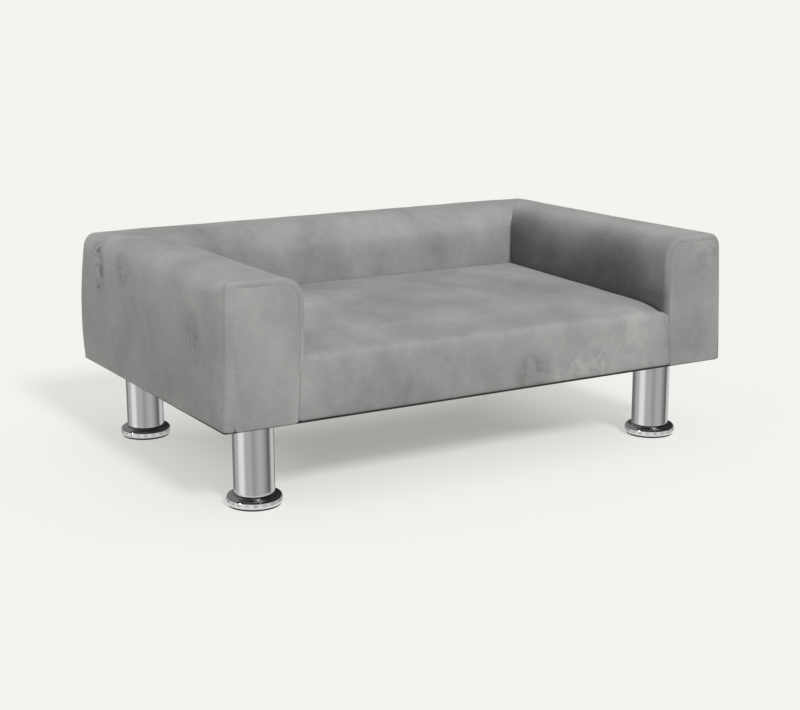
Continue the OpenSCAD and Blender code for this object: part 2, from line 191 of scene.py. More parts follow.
# Upholstery of the arms and the back, shaped as one U and parted along its seams afterwards
uphol = {
    "outerX": 0.349,         # outer face before it swells
    "innerX": 0.2535,
    "frontY": -0.225,
    "innerY": 0.115,
    "rearY": 0.224,
    "lowZ": 0.1038,
    "topZ": 0.2690,
    "outerEdge": 0.016,      # radius of the outer top edge and the rear corners
    "outerSteps": 5,
    "innerEdge": 0.028,      # radius of the rolled inner edge
    "innerSteps": 7,
    "frontEdge": 0.004,
    "frontSteps": 3,
    # how far the foam fills out the outer faces, at the rear and at the front
    "leftBelly": (0.0052, 0.0005),
    "rightBelly": (0.0025, 0.0012),
    "bellyCurve": 0.8,
    # how far the outer faces stand out, at the rear and at the front
    "leftTop": (-0.003, -0.008),
    "leftFoot": (0.0035, -0.0025),
    "rightTop": (-0.002, -0.002),
    "rightFoot": (0.0035, 0.006),
    "backShare": 0.5,        # share of both that the back gets
    "aside": 0.0048,         # the opening sits this much to the right of the middle
    "lean": 0.003,           # how far the left front falls back beside its outer edge
    "leanDeep": 0.03,
    "seamIn": 0.0075,        # seam of the front panel from the top and the inner side
    "seamOut": {-1: 0.0115, 1: 0.0046},      # and from the outer side, left and right
    "panelAside": 0.0025,
    "seamSlant": 0.0055,     # the seam beside the seat runs outward to its foot
    "driftReach": (0.022, 0.02),     # how far beside and behind the seam the cover goes with it
    "apronTop": 0.176,       # below this the seat runs across to the seam
    "mitreDeep": 0.02,       # the mitre cuts start this far before the inner corners
    "lipFoot": 0.160,        # the lip of the arm cover ends behind the seat cover
    "square": 5.0,           # how square the left arm's outer top edge gets at the front, 2 is round
    "squareDeep": 0.08,
    "cell": 0.0125,
    "pressure": 3.0,
    "bending": 0.6,
    "swell": 0.0032,         # how far the cloth may move
    "swellOuter": 0.0010,    # and how far over the boards, which lie close under the outer faces
    "boards": (0.004, 0.002),        # from the outer and rear faces to their boards
    "boardFade": 0.03,
    "heldHigh": 0.186,       # below this the inner faces are held by the seat
    "heldAside": 0.003,
    "uneven": (0.0005, 0.05),        # how uneven the foam is, and over what size
    "turnIn": (0.004, 0.0005),       # how deep a cover turns in at its seams, and how round
    "napStep": (0.37, 0.21, 0.53),   # the nap pattern starts this much further on in each cover
    "crease": 60,            # edges that bend less, in degrees, look smooth
}
partNames = ["leftArmPad", "backPad", "rightArmPad", "leftArmPanel", "rightArmPanel"]
leftPart, backPart, rightPart, leftPanel, rightPanel = range(5)
# Cloth under air pressure
air = {
    "frames": 20,
    "quality": 6,
    "mass": 0.3,
    "stretch": 12,
    "shear": 6,
}


def swellUp(piece, held, pressure, most, bending):
    # Held where held(co) is true; a point moves no further than most(co)
    s = air
    useOnly(piece)
    start = [v.co.copy() for v in piece.data.vertices]
    group = piece.vertex_groups.new(name="held")
    group.add([v.index for v in piece.data.vertices if held(v)], 1.0, "REPLACE")
    cloth = piece.modifiers.new("cloth", "CLOTH")
    cloth.settings.vertex_group_mass = "held"
    cloth.settings.quality = s["quality"]
    cloth.settings.mass = s["mass"]
    cloth.settings.tension_stiffness = cloth.settings.compression_stiffness = s["stretch"]
    cloth.settings.shear_stiffness = s["shear"]
    cloth.settings.bending_stiffness = bending
    cloth.settings.use_pressure = True
    cloth.settings.uniform_pressure_force = pressure
    cloth.settings.effector_weights.gravity = 0
    cloth.collision_settings.use_collision = False
    cloth.point_cache.frame_start, cloth.point_cache.frame_end = 1, s["frames"]
    for number in range(1, s["frames"] + 1):
        bpy.context.scene.frame_set(number)
    bpy.ops.object.modifier_apply(modifier=cloth.name)
    bpy.context.scene.frame_set(1)
    for v, old in zip(piece.data.vertices, start):
        move = v.co - old
        limit = most(old)
        if move.length > limit:
            v.co = old + move * (limit / move.length)
    piece.vertex_groups.clear()


def smoothOut(piece, free, times):
    # Evens out wrinkles where free(v) is true
    useOnly(piece)
    group = piece.vertex_groups.new(name="free")
    group.add([v.index for v in piece.data.vertices if free(v)], 1.0, "REPLACE")
    finishWith(piece, "SMOOTH", factor=0.5, iterations=times, vertex_group="free")
    piece.vertex_groups.clear()


def markNapAndShading(piece, shift, painted=None):
    # Where this piece reads the nap pattern, so that it breaks at the seams, and the painted light and shade
    # laid on it
    values = piece.data.attributes.new("napShift", "FLOAT_VECTOR", "POINT")
    values.data.foreach_set("vector", list(shift) * len(piece.data.vertices))
    if painted:
        values = piece.data.attributes.new("paintedShading", "FLOAT", "POINT")
        values.data.foreach_set("value", [painted(v.co) for v in piece.data.vertices])


# Painted light and shade laid on the arm covers
armPaintedShading = {
    # painted highlight on the upper edges, painted shade on the strip and on the inner side of the right
    # arm, painted highlight on the right arm's top
    "edgeLight": 0.034,      # upper edges of the left arm
    "edgeHigh": (0.205, 0.05),       # from this height, and over how much more
    "armMiddle": 0.3,
    "edgeAside": (0.030, 0.018),     # from this far beside the arm's middle, and over how much more
    "stripDark": 0.028,      # strip beside the left front panel
    "stripDeep": 0.012,
    "stripFade": 0.006,
    "innerDark": 0.098,      # inner side of the right arm
    "innerReach": (0.002, 0.016),
    "footDark": 0.036,       # more of it near the foot
    "footHigh": (0.235, 0.04),
    "frontShare": 0.6,       # less of it near the front
    "frontDeep": (0.150, 0.05),
    "cornerDark": 0.035,     # most of it where the foot and the front meet
    "topLight": 0.012,       # top of the right arm
    "topHigh": (0.255, 0.012),
}


# Painted highlight on the upper edges of the left arm and painted shade on the strip beside its front panel
def leftArmPaintedShading(co):
    s, u = armPaintedShading, uphol
    aside = abs(-co.x - s["armMiddle"] - u["aside"] / 2)
    front = fallOff(co.y - u["frontY"], s["stripDeep"])
    edge = fade(co.z, *s["edgeHigh"]) * fade(aside, *s["edgeAside"]) * (1 - front)
    strip = fade(-co.x - u["outerX"] + u["seamOut"][-1] + s["stripFade"], 0, s["stripFade"]) * front
    return s["edgeLight"] * edge - s["stripDark"] * strip


# Painted shade on the inner side of the right arm, deeper low down beside the seat and fainter towards the
# front except low down; painted highlight along its top
def rightArmPaintedShading(co):
    s, u = armPaintedShading, uphol
    start, reach = s["innerReach"]
    inner = min(1.0, fallOff(co.x - u["innerX"] - u["aside"] - start, reach))
    low = fade(-co.z, -s["footHigh"][0], s["footHigh"][1])
    front = fade(-co.y, *s["frontDeep"])
    dark = (s["innerDark"] + s["footDark"] * low) * max(1 - s["frontShare"] * front, low)
    dark += s["cornerDark"] * low * front
    return s["topLight"] * fade(co.z, *s["topHigh"]) - dark * inner


def uneven(piece, amount, size, seed):
    # Foam is never quite even
    offset = Vector((seed * 3.1, seed * 1.7, seed * 2.3))
    normals = [v.normal.copy() for v in piece.data.vertices]
    for v, normal in zip(piece.data.vertices, normals):
        v.co += normal * amount * noise.noise(v.co / size + offset)


def seamDrift(co):
    # The front seams beside the seat sit a little to the right and run outward to their feet
    s = uphol
    beside, behind = s["driftReach"]
    weight = fallOff(abs(abs(co.x) - s["innerX"] - s["seamIn"]), beside)
    weight *= fallOff(co.y - s["frontY"], behind)
    down = max(0.0, s["apronTop"] - co.z) / (s["apronTop"] - s["lowZ"])
    return weight * (s["panelAside"] + math.copysign(s["seamSlant"] * down, co.x))


def squareUp(co, weight):
    # Pushes the rounded outer top edge of the left arm towards a square one
    s = uphol
    x, z = -co.x - s["outerX"] + s["outerEdge"], co.z - s["topZ"] + s["outerEdge"]
    if x > 0 and z > 0:
        long = math.hypot(x, z)
        push = ((x / long) ** s["square"] + (z / long) ** s["square"]) ** (-1 / s["square"]) - 1
        co.x -= x * push * weight
        co.z += z * push * weight


def fillOut(piece):
    # Outer faces lean and swell out, the swell most at half height; the back gets a share of both
    s = uphol
    for v in piece.data.vertices:
        high = fade(v.co.z, s["lowZ"], s["topZ"] - s["lowZ"])
        along = fade(-v.co.y, -s["rearY"], s["rearY"] - s["frontY"])
        side = "left" if v.co.x < 0 else "right"
        stand = between((between(s[side + "Foot"], along), between(s[side + "Top"], along)), high)
        swell = between(s[side + "Belly"], along) * math.sin(math.pi * high) ** s["bellyCurve"]
        sideways = max(0.0, (abs(v.co.x) - s["innerX"]) / (s["outerX"] - s["innerX"]))
        backward = max(0.0, (v.co.y - s["innerY"]) / (s["rearY"] - s["innerY"]))
        edge = max(0.0, (-v.co.x - s["outerX"] + s["seamOut"][-1]) / s["seamOut"][-1])
        lean = s["lean"] * edge * edge * fallOff(v.co.y - s["frontY"], s["leanDeep"])
        drift = seamDrift(v.co)
        squareUp(v.co, fallOff(v.co.y - s["frontY"], s["squareDeep"]))
        v.co.x += (-1 if side == "left" else 1) * sideways * sideways * (swell + stand)
        v.co.x += s["aside"] * (1 - min(1.0, sideways)) + drift
        v.co.y += backward * backward * (swell + stand) * s["backShare"] + lean


def turnIn(piece, depth, edge):
    # Edges of a cover turn in at its seams; the rest is closed inside
    pick(piece, "edges", lambda e: e.is_boundary)
    bpy.ops.mesh.extrude_region_move()
    bpy.ops.transform.shrink_fatten(value=-depth)
    pick(piece, "edges", lambda e: e.is_boundary)
    bpy.ops.mesh.edge_face_add()
    bpy.ops.object.mode_set(mode="OBJECT")
    outward(piece)
    roundEdges(piece, edge)


def makeUpholstery():
    s = uphol
    wide = s["outerX"] - s["innerX"]
    rear = s["innerY"] + wide  # the back is drawn as thick as an arm and gets its own thickness later
    piece = startBlock("upholstery", (s["innerX"], s["frontY"], s["lowZ"]), (s["outerX"], rear, s["topZ"]))
    cutAcross(piece, 1, [s["innerY"]])
    pick(piece, "faces", lambda f: f.normal.x < -facing and middle(f).y > s["innerY"])
    bpy.ops.mesh.extrude_region_move(TRANSFORM_OT_translate={"value": (-2 * s["innerX"], 0, 0)})
    pick(piece, "faces", lambda f: f.normal.x < -facing and near(middle(f).x, -s["innerX"]))
    bpy.ops.mesh.extrude_region_move(TRANSFORM_OT_translate={"value": (-wide, 0, 0)})
    pick(piece, "faces", lambda f: f.normal.y < -facing and middle(f).x < -s["innerX"])
    bpy.ops.mesh.extrude_region_move(
        TRANSFORM_OT_translate={"value": (0, s["frontY"] - s["innerY"], 0)})
    pick(piece, "faces", lambda f: True)
    bpy.ops.mesh.dissolve_limited(angle_limit=0.01)
    pick(piece, "faces", lambda f: f.normal.z < -facing)
    bpy.ops.mesh.delete(type="FACE")

    def topOuter(e):
        sameX = allVerts(e, lambda co: near(abs(co.x), s["outerX"]))
        sameY = allVerts(e, lambda co: near(co.y, rear))
        isTop = allVerts(e, lambda co: near(co.z, s["topZ"]))
        return (isTop and (sameX or sameY)) or (sameX and sameY)

    def topInner(e):
        sameX = allVerts(e, lambda co: near(abs(co.x), s["innerX"]))
        sameY = allVerts(e, lambda co: near(co.y, s["innerY"]) and abs(co.x) < s["innerX"] + hair)
        return allVerts(e, lambda co: near(co.z, s["topZ"])) and (sameX or sameY)

    def frontRim(e):
        atFront = allVerts(e, lambda co: near(co.y, s["frontY"]))
        return atFront and not allVerts(e, lambda co: near(co.z, s["lowZ"]))

    for test, edge in ((topOuter, "outer"), (topInner, "inner"), (frontRim, "front")):
        pick(piece, "edges", test)
        bpy.ops.mesh.bevel(offset=s[edge + "Edge"], segments=s[edge + "Steps"], profile=0.5, affect="EDGES",
                           clamp_overlap=False)

    # The seam of the front panel: inset, then its outer side is moved further in
    pick(piece, "faces", lambda f: allVerts(f, lambda co: near(co.y, s["frontY"])))
    bpy.ops.mesh.inset(thickness=s["seamIn"] - s["frontEdge"], use_boundary=False, use_even_offset=True)
    mesh = bmesh.from_edit_mesh(piece.data)
    panelFaces = [f for f in mesh.faces if f.select]
    for f in panelFaces:
        f.material_index = leftPanel if middle(f).x < 0 else rightPanel
    for v in {v for f in panelFaces for v in f.verts}:
        squareUp(v.co, 1.0)
    edgeX = s["outerX"] - s["outerEdge"] - hair
    for side in (-1, 1):
        pick(piece, "verts", lambda v: v.co.x * side > edgeX
             and any(f.material_index >= leftPanel for f in v.link_faces))
        bpy.ops.transform.translate(value=(-side * (s["seamOut"][side] - s["seamIn"]), 0, 0))

    # Cuts that give the cloth something to bend on
    armTop = [s["innerX"] + s["innerEdge"], s["outerX"] - s["outerEdge"]]
    armCuts = arcPlaces(s["innerX"], s["innerEdge"], s["innerSteps"])
    armCuts += spread(*armTop, s["cell"]) + [armTop[1]]
    backCuts = [place - s["innerX"] + s["innerY"] for place in armCuts]
    middleCuts = spread(-s["innerX"], s["innerX"], s["cell"])
    cutAcross(piece, 0, [-x for x in armCuts] + [-s["innerX"]] + middleCuts + [s["innerX"]] + armCuts)
    frontCuts = spread(s["frontY"] + s["frontEdge"], s["innerY"], s["cell"])
    cutAcross(piece, 1, frontCuts + [s["innerY"]] + backCuts)
    arcFoot = s["topZ"] - s["innerEdge"]
    cutAcross(piece, 2, spread(s["lowZ"], s["lipFoot"], s["cell"]) + [s["lipFoot"]]
              + spread(s["lipFoot"], arcFoot, s["cell"]) + [arcFoot])

    # Mitre seams, then the back gets its own thickness
    for side in (-1, 1):
        pick(piece, "faces", lambda f: middle(f).y > s["innerY"] - s["mitreDeep"])
        bpy.ops.mesh.bisect(plane_co=(side * s["innerX"], s["innerY"], 0), plane_no=(side, -1, 0))
    pick(piece, "faces", lambda f: f.material_index < leftPanel and middle(f).y > s["innerY"]
         and abs(middle(f).x) - s["innerX"] < middle(f).y - s["innerY"])
    mesh = bmesh.from_edit_mesh(piece.data)
    for f in mesh.faces:
        if f.select:
            f.material_index = backPart
        elif f.material_index < leftPanel:
            f.material_index = leftPart if middle(f).x < 0 else rightPart
    bmesh.update_edit_mesh(piece.data)
    pick(piece, "verts", lambda v: v.co.y > s["innerY"] + hair)
    bpy.ops.transform.resize(value=(1, (s["rearY"] - s["innerY"]) / wide, 1),
                             center_override=(0, s["innerY"], 0))

    # Below the seat's front the seam runs straight down
    seamX = s["innerX"] + s["seamIn"]
    pick(piece, "faces", lambda f: f.material_index < leftPanel and middle(f).z < s["lipFoot"]
         and abs(middle(f).x) < seamX and middle(f).y < s["frontY"] + s["frontEdge"] + hair)
    bpy.ops.mesh.delete(type="FACE")
    bpy.ops.object.mode_set(mode="OBJECT")
    fillOut(piece)
    print("upholstery cut:", len(piece.data.polygons), "faces")
    return piece


def partUpholstery(piece):
    s = uphol
    byEdge = {}
    for f in piece.data.polygons:
        for key in f.edge_keys:
            byEdge.setdefault(key, set()).add(f.material_index)
    seams = {number for key, found in byEdge.items() if len(found) > 1 for number in key}
    panels = [f for f in piece.data.polygons if f.material_index >= leftPanel]
    panel = {number for f in panels for number in f.vertices}

    def held(v):
        low = v.co.z < s["lowZ"] + hair
        behindSeat = (v.co.z < s["heldHigh"] and abs(v.co.x - s["aside"]) < s["innerX"] + s["heldAside"]
                      and v.co.y < s["innerY"] + hair)
        rim = v.co.y < s["frontY"] + s["frontEdge"] + hair and v.index not in panel
        return low or behindSeat or rim or v.index in seams

    def most(co):
        side, rear = s["boards"]
        away = min(s["outerX"] - abs(co.x) - side, s["rearY"] - co.y - rear, co.y - s["frontY"])
        return between((s["swellOuter"], s["swell"]), fade(away, 0, s["boardFade"]))
    swellUp(piece, held, s["pressure"], most, s["bending"])
    for name in partNames:
        piece.data.materials.append(bpy.data.materials.new(name))
    useOnly(piece)
    bpy.ops.object.mode_set(mode="EDIT")
    bpy.ops.mesh.select_all(action="SELECT")
    bpy.ops.mesh.separate(type="MATERIAL")
    bpy.ops.object.mode_set(mode="OBJECT")
    made = {}
    for other in list(bpy.context.selected_objects):
        name = other.data.materials[other.data.polygons[0].material_index].name
        other.name = other.data.name = name
        other.data.materials.clear()
        made[name] = other
    # painted light and shade for the two arm covers
    tones = {"leftArmPad": leftArmPaintedShading, "rightArmPad": rightArmPaintedShading}
    for number, name in enumerate(partNames):
        part = made[name]
        finishWith(part, "SUBSURF", levels=2, render_levels=2)
        uneven(part, *s["uneven"], number + 1)
        turnIn(part, *s["turnIn"])
        markNapAndShading(part, [number * step for step in s["napStep"]], tones.get(name))
        smoothLook(part, s["crease"])
        print(name, len(part.data.polygons), "faces")
    return made


# Seat: one cover from the rear crease over the rolled front edge down to the underside
seatPad = {
    "halfX": 0.2523,
    "rearY": 0.1142,
    "rearZ": 0.1912,
    "frontZ": 0.1828,
    "rollEdge": 0.0095,
    "rollDeep": 0.042,       # how far behind the front the top starts to fall
    "rollSteps": 8,
    "flangeStep": 3,         # the slice that reaches out to the front seams ends at this step
    "sideEdge": 0.003,
    "forward": 0.0007,       # how far its front covers the lips of the arms
    "forwardDeep": 0.02,
    "rise": {-1: (0.0030, 0.02), 1: (-0.0040, 0.045)},   # how its front corners rise, and how far back
    "riseWide": (0.03, 1.4),         # how far from the side it starts, and how steeply
    "riseHigh": (0.155, 0.015),
    "cell": 0.0125,
    "pressure": 1.6,
    "bending": 40,
    "swell": 0.005,
    "faceHeld": 0.012,       # the front face is held from this far under the roll
    "smoothAll": 6,
    "smoothFront": 8,
    "smoothDeep": 0.06,
    "seed": 9,
    "napShift": (0.9, 0.4, 0.1),
}


def makeSeat():
    s, u = seatPad, uphol
    piece = startBlock("seatPad", (-s["halfX"], u["frontY"], u["lowZ"]),
                       (s["halfX"], s["rearY"], s["rearZ"]))
    pick(piece, "verts", lambda v: near(v.co.y, u["frontY"]) and near(v.co.z, s["rearZ"]))
    bpy.ops.transform.translate(value=(0, 0, s["frontZ"] - s["rearZ"]))
    pick(piece, "edges", lambda e: allVerts(
        e, lambda co: near(co.y, u["frontY"]) and near(co.z, s["frontZ"])))
    bpy.ops.mesh.bevel(offset=s["rollEdge"], segments=s["rollSteps"], profile=0.5, affect="EDGES",
                       clamp_overlap=False)
    pick(piece, "verts", lambda v: v.co.z > u["lipFoot"] and v.co.y < u["frontY"] + 2 * s["rollEdge"])
    bpy.ops.transform.resize(value=(1, s["rollDeep"] / s["rollEdge"], 1),
                             center_override=(0, u["frontY"], 0))
    mesh = bmesh.from_edit_mesh(piece.data)
    flangeY = sorted({round(v.co.y, 6) for v in mesh.verts if v.co.z > u["lipFoot"]})[s["flangeStep"]]
    sideX = s["halfX"] - s["sideEdge"]
    cutAcross(piece, 0, [-sideX] + spread(-sideX, sideX, s["cell"]) + [sideX])
    rearY = s["rearY"] - s["sideEdge"]
    cutAcross(piece, 1, [flangeY] + spread(u["frontY"] + s["rollDeep"], rearY, s["cell"]) + [rearY])
    rollLow = s["frontZ"] - s["rollEdge"]
    cutAcross(piece, 2, spread(u["lowZ"], rollLow, s["cell"]))
    for side in (-1, 1):
        pick(piece, "faces", lambda f: f.normal.x * side > facing and middle(f).y < flangeY)
        bpy.ops.mesh.extrude_region_move(
            TRANSFORM_OT_translate={"value": (side * (u["innerX"] + u["seamIn"] - s["halfX"]), 0, 0)})
    bpy.ops.object.mode_set(mode="OBJECT")
    inOrder(piece)
    def held(v):
        face = v.co.y < u["frontY"] + hair and v.co.z < rollLow - s["faceHeld"]
        ends = abs(v.co.x) > s["halfX"] - hair or v.co.y > s["rearY"] - hair
        return face or ends or v.co.z < u["lowZ"] + hair
    swellUp(piece, held, s["pressure"], lambda co: s["swell"], s["bending"])
    smoothOut(piece, lambda v: not held(v), s["smoothAll"])
    smoothOut(piece, lambda v: v.co.y < u["frontY"] + s["smoothDeep"] and not held(v), s["smoothFront"])
    wide, steep = s["riseWide"]
    for v in piece.data.vertices:
        rise, deep = s["rise"][-1 if v.co.x < 0 else 1]
        v.co.x += u["aside"] + seamDrift(v.co)
        v.co.y -= s["forward"] * fallOff(v.co.y - u["frontY"], s["forwardDeep"])
        corner = fallOff(u["innerX"] + u["seamIn"] - abs(v.co.x - u["aside"]), wide)
        corner = min(1.0, corner * steep) * fallOff(v.co.y - u["frontY"], deep)
        v.co.z += rise * corner * fade(v.co.z, *s["riseHigh"])
    finishWith(piece, "SUBSURF", levels=2, render_levels=2)
    uneven(piece, *u["uneven"], s["seed"])
    markNapAndShading(piece, s["napShift"])
    smoothLook(piece, u["crease"])
    print("seatPad", len(piece.data.polygons), "faces")
    return piece


# Black lining stapled under the frame; only its edge is seen
lining = {
    "halfX": 0.3508,
    "frontY": -0.2245,
    "rearY": 0.2255,
    "lowZ": 0.1029,
    "topZ": 0.1042,
    "rearCorner": (0.012, 6),        # radius and steps
    "frontCorner": (0.004, 3),
    "edge": 0.0004,
    "aside": 0.0036,         # its left edge follows the cover
    "crease": 40,
}


def makeLining():
    s = lining
    piece = startBlock("liningSheet", (-s["halfX"], s["frontY"], s["lowZ"]),
                       (s["halfX"], s["rearY"], s["topZ"]))
    for side, (radius, steps) in ((1, s["rearCorner"]), (-1, s["frontCorner"])):
        pick(piece, "edges", lambda e: near(e.verts[0].co.x, e.verts[1].co.x)
             and near(e.verts[0].co.y, e.verts[1].co.y) and middle(e).y * side > 0)
        bpy.ops.mesh.bevel(offset=radius, segments=steps, profile=0.5, affect="EDGES")
    bpy.ops.object.mode_set(mode="OBJECT")
    for v in piece.data.vertices:
        if v.co.x < 0:
            v.co.x += s["aside"] * (s["rearY"] - v.co.y) / (s["rearY"] - s["frontY"])
    roundEdges(piece, s["edge"])
    smoothLook(piece, s["crease"])
    print("lining", len(piece.data.polygons), "faces")
    return piece


# Top stitching beside the outer seam of the left front panel
stitches = {
    "fromSeam": 0.0013,
    "long": 0.0026,
    "step": 0.0050,
    "thick": 0.0005,
    "flat": 0.8,             # share of the thickness that a stitch stands out
    "tip": 0.22,             # and that its ends are drawn in
    "lift": 0.1,
    "lowZ": 0.112,
    "topZ": 0.24,
    "follow": 0.62,          # share of the arm's slant that the seam follows
    "lookFrom": 0.1,         # their places on the panel are found from this far in front of it
}


def makeStitches(panel, name):
    s, u = stitches, uphol
    allOff()
    bpy.ops.mesh.primitive_cube_add(size=1, location=(0, 0, 0))
    bpy.context.object.scale = (s["thick"], s["thick"] * s["flat"], s["long"])
    one = placeHere(bpy.context.object, "oneStitch")
    pick(one, "faces", lambda f: abs(f.normal.z) > facing)
    bpy.ops.mesh.inset(thickness=s["thick"] * s["tip"])
    bpy.ops.mesh.select_all(action="SELECT")
    bpy.ops.mesh.subdivide(number_cuts=1)
    bpy.ops.object.mode_set(mode="OBJECT")
    finishWith(one, "SUBSURF", levels=1, render_levels=1)
    made = []
    for number in range(int((s["topZ"] - s["lowZ"]) / s["step"])):
        z = s["lowZ"] + number * s["step"]
        high = (z - u["lowZ"]) / (u["topZ"] - u["lowZ"])
        stand = between((u["leftFoot"][1], u["leftTop"][1]), high) * s["follow"]
        x = -(u["outerX"] - u["seamOut"][-1] - s["fromSeam"] + stand)
        hit, spot, normal, face = panel.ray_cast((x, u["frontY"] - s["lookFrom"], z), (0, 1, 0))
        if hit:
            turn = Vector((0, -1, 0)).rotation_difference(normal).to_matrix().to_4x4()
            place = Matrix.Translation(spot + normal * s["thick"] * s["lift"])
            made.append(copyTo(one, name, place @ turn))
    bpy.data.objects.remove(one)
    allOff()
    for other in made:
        other.select_set(True)
    bpy.context.view_layer.objects.active = made[0]
    bpy.ops.object.join()
    piece = bpy.context.object
    piece.name = piece.data.name = name
    smoothLook(piece, u["crease"])
    print(name, len(made), "stitches")
    return piece


# Legs and feet: each is turned from a profile, then copied to the four corners
legs = {
    "x": 0.288,
    "y": 0.169,
    "tubeRadius": 0.02375,
    "tubeWall": 0.0012,
    "tubeFoot": 0.0135,
    "tubeTop": 0.103,
    "ringRadius": 0.0325,
    "beadRadius": 0.0055,
    "footRound": 0.0018,
    "shoulderRound": 0.0052,
    "soleHeight": 0.0022,
    "soleRadius": 0.0305,
    # top of the sole's hub, its bore, the step in it and the wide bore below
    "hub": (0.0119, 0.0078, 0.0067, 0.008),
    "soleGap": 0.0002,       # between the hub and the inside of the ring
    "soleUnder": 0.00005,    # the sole's top stays this far under the ring
    "boltHole": 0.004,
    "capThick": 0.003,
    "ringSheet": 0.0012,
    "studHole": 0.0045,
    "softTube": 0.0003,      # how far the turned edges are broken
    "softSole": 0.0005,
    "around": 96,
    "crease": 35,
    "turn": 0.4,             # each leg is turned this much further, in radians
}


def legSpot(legName):
    return legs["x"] * (1 if "right" in legName else -1), legs["y"] * (1 if "rear" in legName else -1)


def turned(name, profile, around):
    # A circle for each point of the profile, joined into a closed turned shape
    allOff()
    bpy.ops.mesh.primitive_circle_add(vertices=around, radius=profile[0][0], location=(0, 0, profile[0][1]))
    piece = placeHere(bpy.context.object, name)
    editOn(piece)
    bpy.ops.mesh.select_mode(type="EDGE")
    bpy.ops.mesh.select_all(action="SELECT")
    last = profile[0]
    for point in profile[1:]:
        bpy.ops.mesh.extrude_region_move(TRANSFORM_OT_translate={"value": (0, 0, point[1] - last[1])})
        if not near(point[0], last[0], 1e-9):
            bpy.ops.transform.resize(value=(point[0] / last[0], point[0] / last[0], 1),
                                     center_override=(0, 0, point[1]))
        last = point
    bpy.ops.mesh.select_all(action="SELECT")
    bpy.ops.mesh.remove_doubles(threshold=1e-6)
    bpy.ops.object.mode_set(mode="OBJECT")
    outward(piece)
    return piece


def makeTube():
    s = legs
    r, wall, low, top = s["tubeRadius"], s["tubeWall"], s["tubeFoot"], s["tubeTop"]
    soft, hole, under = s["softTube"], s["boltHole"], s["tubeTop"] - s["capThick"]
    profile = [(r - soft, low), (r, low + soft), (r, top - soft), (r - soft, top), (hole, top),
               (hole, under), (r - wall, under), (r - wall, low + soft), (r - wall + soft, low),
               (r - soft, low)]
    piece = turned("legTube", profile, s["around"])
    smoothLook(piece, s["crease"])
    return piece


def makeRing():
    s = legs
    low, top, sheet = s["soleHeight"], s["soleHeight"] + 2 * s["beadRadius"], s["ringSheet"]
    foot, shoulder, rim = s["footRound"], s["shoulderRound"], s["ringRadius"]

    def arc(inset, first, last, step):
        # The rounded foot and shoulder of the rim, and the same further in for the inside of the sheet
        points = []
        for degrees in range(first, last, step):
            below = degrees < 0 or (degrees == 0 and step < 0)
            radius, centreZ = (foot, low + foot) if below else (shoulder, top - shoulder)
            turn = math.radians(degrees)
            points.append((rim - radius + (radius - inset) * math.cos(turn),
                           centreZ + (radius - inset) * math.sin(turn)))
        return points

    outer = arc(0, -90, 0, 15) + [(rim, low + foot)] + arc(0, 0, 91, 9)
    inner = arc(sheet, 90, 0, -9) + [(rim - sheet, top - shoulder), (rim - sheet, low + foot)]
    inner += arc(sheet, -15, -91, -15)
    profile = outer + [(s["studHole"], top), (s["studHole"], top - sheet)] + inner + [outer[0]]
    piece = turned("footRing", profile, s["around"])
    smoothLook(piece, s["crease"])
    return piece


def makeSole():
    s = legs
    r, high, soft = s["soleRadius"], s["soleHeight"], s["softSole"]
    hub = s["ringRadius"] - s["beadRadius"] - s["soleGap"]
    hubTop, bore, seat, wideBore = s["hub"]
    profile = [(wideBore, 0.0), (r - soft, 0.0), (r, soft), (r, high - soft),
               (r - soft, high - s["soleUnder"]), (hub, high), (hub, hubTop), (bore, hubTop),
               (bore, seat), (wideBore, seat)]
    piece = turned("footSole", profile, s["around"])
    pick(piece, "edges", lambda e: e.is_boundary)
    bpy.ops.mesh.edge_face_add()
    bpy.ops.object.mode_set(mode="OBJECT")
    outward(piece)
    smoothLook(piece, s["crease"])
    return piece


# Materials
def newMaterial(name, **sockets):
    material = bpy.data.materials.new(name)
    material.use_nodes = True
    shader = material.node_tree.nodes["Principled BSDF"]
    for key, value in sockets.items():
        shader.inputs[key.replace("_", " ")].default_value = value
    return material, material.node_tree, shader


def addNode(tree, kind, settings=None, **inputs):
    node = tree.nodes.new("ShaderNode" + kind)
    for key, value in (settings or {}).items():
        setattr(node, key, value)
    for key, value in inputs.items():
        node.inputs[key.replace("_", " ")].default_value = value
    return node


def wire(tree, output, target):
    tree.links.new(output, target)


def ramp(tree, source, stops):
    node = addNode(tree, "ValToRGB")
    bar = node.color_ramp
    while len(bar.elements) > len(stops):
        bar.elements.remove(bar.elements[-1])
    while len(bar.elements) < len(stops):
        bar.elements.new(0.5)
    for element, (place, colour) in zip(bar.elements, stops):
        element.position = place
        element.color = (*colour, 1)
    wire(tree, source, node.inputs["Fac"])
    return node.outputs["Color"]


def mathNode(tree, kind, a, b=None, c=None):
    node = addNode(tree, "Math", {"operation": kind})
    for socket, value in zip(node.inputs, (a, b, c)):
        if isinstance(value, (int, float)):
            socket.default_value = value
        elif value:
            wire(tree, value, socket)
    return node.outputs[0]


def smoothStep(tree, value, low, high):
    node = addNode(tree, "MapRange", {"interpolation_type": "SMOOTHSTEP"}, From_Min=low, From_Max=high)
    wire(tree, value, node.inputs["Value"])
    return node.outputs[0]


def bump(tree, height, shader, strength, distance, below=None):
    node = addNode(tree, "Bump", Strength=strength, Distance=distance)
    wire(tree, height, node.inputs["Height"])
    if below:
        wire(tree, below.outputs[0], node.inputs["Normal"])
    wire(tree, node.outputs[0], shader.inputs["Normal"])
    return node


